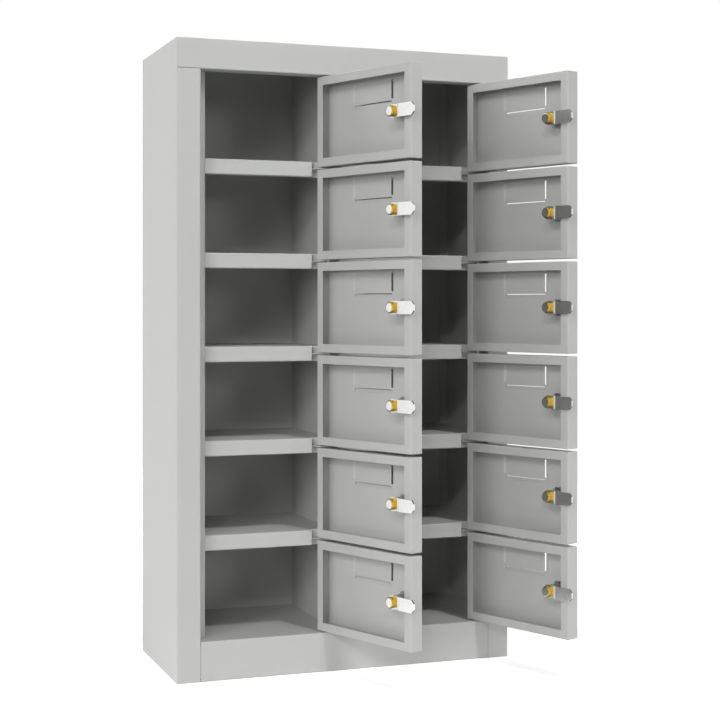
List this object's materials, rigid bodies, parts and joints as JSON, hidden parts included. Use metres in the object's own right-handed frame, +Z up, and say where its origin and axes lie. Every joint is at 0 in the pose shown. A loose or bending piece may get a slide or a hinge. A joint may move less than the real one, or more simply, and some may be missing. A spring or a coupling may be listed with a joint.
{
  "type": "small compartment locker",
  "caption": "Free-standing light-grey sheet-steel locker with stacks of small compartments, each closed by a right-hung door with a label holder and a cam lock.",
  "frame": {"origin": "floor level, in the middle of the back face", "axes": "+Z up, +Y out of the back towards the wall, so the doors are at -Y; +X to the right as seen from the front"},
  "size_m": [0.4759, 0.368, 0.8],
  "materials": {
    "carcass_paint": "light grey powder coat, satin",
    "door_paint": "light grey powder coat, satin",
    "pin_steel": "bright steel",
    "lock_chrome": "bright nickel plate",
    "lock_brass": "polished brass",
    "cam_steel": "bright zinc-plated steel"
  },
  "bodies": {
    "carcass": {"left_side_panel": "carcass_paint", "right_side_panel": "carcass_paint", "top_panel": "carcass_paint", "bottom_panel": "carcass_paint", "back_panel": "carcass_paint", "centre_post": "carcass_paint", "centre_divider": "carcass_paint", "left_shelves": "carcass_paint", "right_shelves": "carcass_paint", "hinge_brackets": "carcass_paint", "hinge_pins": "pin_steel"},
    "left_door_1": {"left_door_1": "door_paint", "left_lock_barrel_1": "lock_chrome"},
    "left_lock_1": {"left_lock_plug_1": "lock_brass", "left_lock_cam_1": "cam_steel"},
    "left_door_2": {"left_door_2": "door_paint", "left_lock_barrel_2": "lock_chrome"},
    "left_lock_2": {"left_lock_plug_2": "lock_brass", "left_lock_cam_2": "cam_steel"},
    "left_door_3": {"left_door_3": "door_paint", "left_lock_barrel_3": "lock_chrome"},
    "left_lock_3": {"left_lock_plug_3": "lock_brass", "left_lock_cam_3": "cam_steel"},
    "left_door_4": {"left_door_4": "door_paint", "left_lock_barrel_4": "lock_chrome"},
    "left_lock_4": {"left_lock_plug_4": "lock_brass", "left_lock_cam_4": "cam_steel"},
    "left_door_5": {"left_door_5": "door_paint", "left_lock_barrel_5": "lock_chrome"},
    "left_lock_5": {"left_lock_plug_5": "lock_brass", "left_lock_cam_5": "cam_steel"},
    "left_door_6": {"left_door_6": "door_paint", "left_lock_barrel_6": "lock_chrome"},
    "left_lock_6": {"left_lock_plug_6": "lock_brass", "left_lock_cam_6": "cam_steel"},
    "right_door_1": {"right_door_1": "door_paint", "right_lock_barrel_1": "lock_chrome"},
    "right_lock_1": {"right_lock_plug_1": "lock_brass", "right_lock_cam_1": "cam_steel"},
    "right_door_2": {"right_door_2": "door_paint", "right_lock_barrel_2": "lock_chrome"},
    "right_lock_2": {"right_lock_plug_2": "lock_brass", "right_lock_cam_2": "cam_steel"},
    "right_door_3": {"right_door_3": "door_paint", "right_lock_barrel_3": "lock_chrome"},
    "right_lock_3": {"right_lock_plug_3": "lock_brass", "right_lock_cam_3": "cam_steel"},
    "right_door_4": {"right_door_4": "door_paint", "right_lock_barrel_4": "lock_chrome"},
    "right_lock_4": {"right_lock_plug_4": "lock_brass", "right_lock_cam_4": "cam_steel"},
    "right_door_5": {"right_door_5": "door_paint", "right_lock_barrel_5": "lock_chrome"},
    "right_lock_5": {"right_lock_plug_5": "lock_brass", "right_lock_cam_5": "cam_steel"},
    "right_door_6": {"right_door_6": "door_paint", "right_lock_barrel_6": "lock_chrome"},
    "right_lock_6": {"right_lock_plug_6": "lock_brass", "right_lock_cam_6": "cam_steel"}
  },
  "joints": [
    {"name": "left_door_1_hinge", "type": "hinge", "parent": "carcass", "child": "left_door_1", "pos_m": [-0.0254, -0.1928, 0.70267], "axis": [0, 0, 1], "range_deg": [-110.8, 5]},
    {"name": "left_lock_1_turn", "type": "hinge", "parent": "left_door_1", "child": "left_lock_1", "pos_m": [0.03108, -0.32121, 0.70267], "axis": [0.9348, 0.3551, 0], "range_deg": [0, 90]},
    {"name": "left_door_2_hinge", "type": "hinge", "parent": "carcass", "child": "left_door_2", "pos_m": [-0.0254, -0.1928, 0.584], "axis": [0, 0, 1], "range_deg": [-110.8, 5]},
    {"name": "left_lock_2_turn", "type": "hinge", "parent": "left_door_2", "child": "left_lock_2", "pos_m": [0.03108, -0.32121, 0.584], "axis": [0.9348, 0.3551, 0], "range_deg": [0, 90]},
    {"name": "left_door_3_hinge", "type": "hinge", "parent": "carcass", "child": "left_door_3", "pos_m": [-0.0254, -0.1928, 0.46533], "axis": [0, 0, 1], "range_deg": [-110.8, 5]},
    {"name": "left_lock_3_turn", "type": "hinge", "parent": "left_door_3", "child": "left_lock_3", "pos_m": [0.03108, -0.32121, 0.46533], "axis": [0.9348, 0.3551, 0], "range_deg": [0, 90]},
    {"name": "left_door_4_hinge", "type": "hinge", "parent": "carcass", "child": "left_door_4", "pos_m": [-0.0254, -0.1928, 0.34667], "axis": [0, 0, 1], "range_deg": [-110.8, 5]},
    {"name": "left_lock_4_turn", "type": "hinge", "parent": "left_door_4", "child": "left_lock_4", "pos_m": [0.03108, -0.32121, 0.34667], "axis": [0.9348, 0.3551, 0], "range_deg": [0, 90]},
    {"name": "left_door_5_hinge", "type": "hinge", "parent": "carcass", "child": "left_door_5", "pos_m": [-0.0254, -0.1928, 0.228], "axis": [0, 0, 1], "range_deg": [-110.8, 5]},
    {"name": "left_lock_5_turn", "type": "hinge", "parent": "left_door_5", "child": "left_lock_5", "pos_m": [0.03108, -0.32121, 0.228], "axis": [0.9348, 0.3551, 0], "range_deg": [0, 90]},
    {"name": "left_door_6_hinge", "type": "hinge", "parent": "carcass", "child": "left_door_6", "pos_m": [-0.0254, -0.1928, 0.10933], "axis": [0, 0, 1], "range_deg": [-110.8, 5]},
    {"name": "left_lock_6_turn", "type": "hinge", "parent": "left_door_6", "child": "left_lock_6", "pos_m": [0.03108, -0.32121, 0.10933], "axis": [0.9348, 0.3551, 0], "range_deg": [0, 90]},
    {"name": "right_door_1_hinge", "type": "hinge", "parent": "carcass", "child": "right_door_1", "pos_m": [0.1847, -0.1928, 0.70267], "axis": [0, 0, 1], "range_deg": [-110.8, 5]},
    {"name": "right_lock_1_turn", "type": "hinge", "parent": "right_door_1", "child": "right_lock_1", "pos_m": [0.24118, -0.32121, 0.70267], "axis": [0.9348, 0.3551, 0], "range_deg": [0, 90]},
    {"name": "right_door_2_hinge", "type": "hinge", "parent": "carcass", "child": "right_door_2", "pos_m": [0.1847, -0.1928, 0.584], "axis": [0, 0, 1], "range_deg": [-110.8, 5]},
    {"name": "right_lock_2_turn", "type": "hinge", "parent": "right_door_2", "child": "right_lock_2", "pos_m": [0.24118, -0.32121, 0.584], "axis": [0.9348, 0.3551, 0], "range_deg": [0, 90]},
    {"name": "right_door_3_hinge", "type": "hinge", "parent": "carcass", "child": "right_door_3", "pos_m": [0.1847, -0.1928, 0.46533], "axis": [0, 0, 1], "range_deg": [-110.8, 5]},
    {"name": "right_lock_3_turn", "type": "hinge", "parent": "right_door_3", "child": "right_lock_3", "pos_m": [0.24118, -0.32121, 0.46533], "axis": [0.9348, 0.3551, 0], "range_deg": [0, 90]},
    {"name": "right_door_4_hinge", "type": "hinge", "parent": "carcass", "child": "right_door_4", "pos_m": [0.1847, -0.1928, 0.34667], "axis": [0, 0, 1], "range_deg": [-110.8, 5]},
    {"name": "right_lock_4_turn", "type": "hinge", "parent": "right_door_4", "child": "right_lock_4", "pos_m": [0.24118, -0.32121, 0.34667], "axis": [0.9348, 0.3551, 0], "range_deg": [0, 90]},
    {"name": "right_door_5_hinge", "type": "hinge", "parent": "carcass", "child": "right_door_5", "pos_m": [0.1847, -0.1928, 0.228], "axis": [0, 0, 1], "range_deg": [-110.8, 5]},
    {"name": "right_lock_5_turn", "type": "hinge", "parent": "right_door_5", "child": "right_lock_5", "pos_m": [0.24118, -0.32121, 0.228], "axis": [0.9348, 0.3551, 0], "range_deg": [0, 90]},
    {"name": "right_door_6_hinge", "type": "hinge", "parent": "carcass", "child": "right_door_6", "pos_m": [0.1847, -0.1928, 0.10933], "axis": [0, 0, 1], "range_deg": [-110.8, 5]},
    {"name": "right_lock_6_turn", "type": "hinge", "parent": "right_door_6", "child": "right_lock_6", "pos_m": [0.24118, -0.32121, 0.10933], "axis": [0.9348, 0.3551, 0], "range_deg": [0, 90]}
  ]
}
